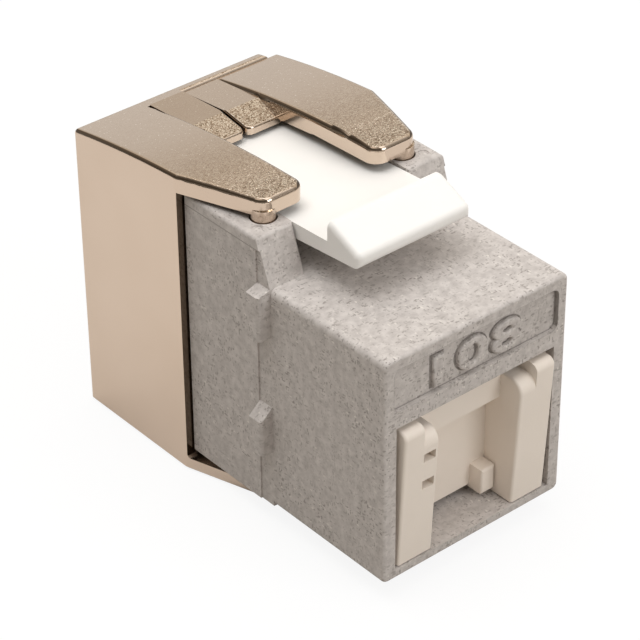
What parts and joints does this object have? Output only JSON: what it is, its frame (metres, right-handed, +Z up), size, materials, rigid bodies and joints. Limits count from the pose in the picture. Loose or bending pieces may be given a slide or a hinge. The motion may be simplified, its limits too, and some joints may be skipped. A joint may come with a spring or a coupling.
{
  "type": "keystone jack",
  "caption": "Screened keystone jack with a sprung port shutter, a white panel latch and two hinged metal rear wings.",
  "frame": {"origin": "centre of the bounding box at the underside of the wings", "axes": "+Z up, -Y out of the port's face, +X to the right seen from the front"},
  "size_m": [0.0164, 0.0288, 0.022],
  "materials": {
    "grey_plastic": "fine matte, moulded",
    "ivory_plastic": "satin, moulded",
    "white_plastic": "satin, moulded",
    "black_plastic": "matte",
    "pale_plastic": "matte",
    "board_green": "coated board",
    "nickel_casting": "blasted and nickel plated",
    "shield_metal": "smooth",
    "spring_steel": "drawn wire",
    "gold_contact": "gold plated",
    "tinned_bronze": "tin plated"
  },
  "bodies": {
    "jack_body": {"front_housing": "grey_plastic", "contact_carrier": "black_plastic", "circuit_board": "board_green", "idc_block": "pale_plastic", "wire_manager": "pale_plastic", "shield_spring_left": "shield_metal", "shield_spring_right": "shield_metal", "shutter_spring": "spring_steel", "spring_contact_1": "gold_contact", "spring_contact_2": "gold_contact", "spring_contact_3": "gold_contact", "spring_contact_4": "gold_contact", "spring_contact_5": "gold_contact", "spring_contact_6": "gold_contact", "spring_contact_7": "gold_contact", "spring_contact_8": "gold_contact", "idc_blade_1": "tinned_bronze", "idc_blade_2": "tinned_bronze", "idc_blade_3": "tinned_bronze", "idc_blade_4": "tinned_bronze", "idc_blade_5": "tinned_bronze", "idc_blade_6": "tinned_bronze", "idc_blade_7": "tinned_bronze", "idc_blade_8": "tinned_bronze"},
    "shutter_flap": {"shutter": "ivory_plastic"},
    "panel_latch": {"latch": "white_plastic"},
    "wing_left": {"left_wing": "nickel_casting"},
    "wing_right": {"right_wing": "nickel_casting"}
  },
  "joints": [
    {"name": "left_wing_hinge", "type": "hinge", "parent": "jack_body", "child": "wing_left", "pos_m": [-0.00545, -0.00112, 0.0106], "axis": [0, 0, 1], "range_deg": [0, 100]},
    {"name": "right_wing_hinge", "type": "hinge", "parent": "jack_body", "child": "wing_right", "pos_m": [0.00545, -0.00112, 0.0106], "axis": [0, 0, -1], "range_deg": [0, 100]},
    {"name": "shutter_hinge", "type": "hinge", "parent": "jack_body", "child": "shutter_flap", "pos_m": [0, -0.01298, 0.0115], "axis": [1, 0, 0], "range_deg": [0, 80], "stiffness_Nm_per_rad": 0.0002, "springref_deg": -28.65, "deforming": ["shutter_spring"]},
    {"name": "latch_flex", "type": "hinge", "parent": "jack_body", "child": "panel_latch", "pos_m": [0, 0.00792, 0.019], "axis": [1, 0, 0], "range_deg": [0, 8], "stiffness_Nm_per_rad": 0.2, "springref_deg": -1.15}
  ],
  "couplings": [
    {"joint": "right_wing_hinge", "follows": "left_wing_hinge", "ratio": 1}
  ]
}
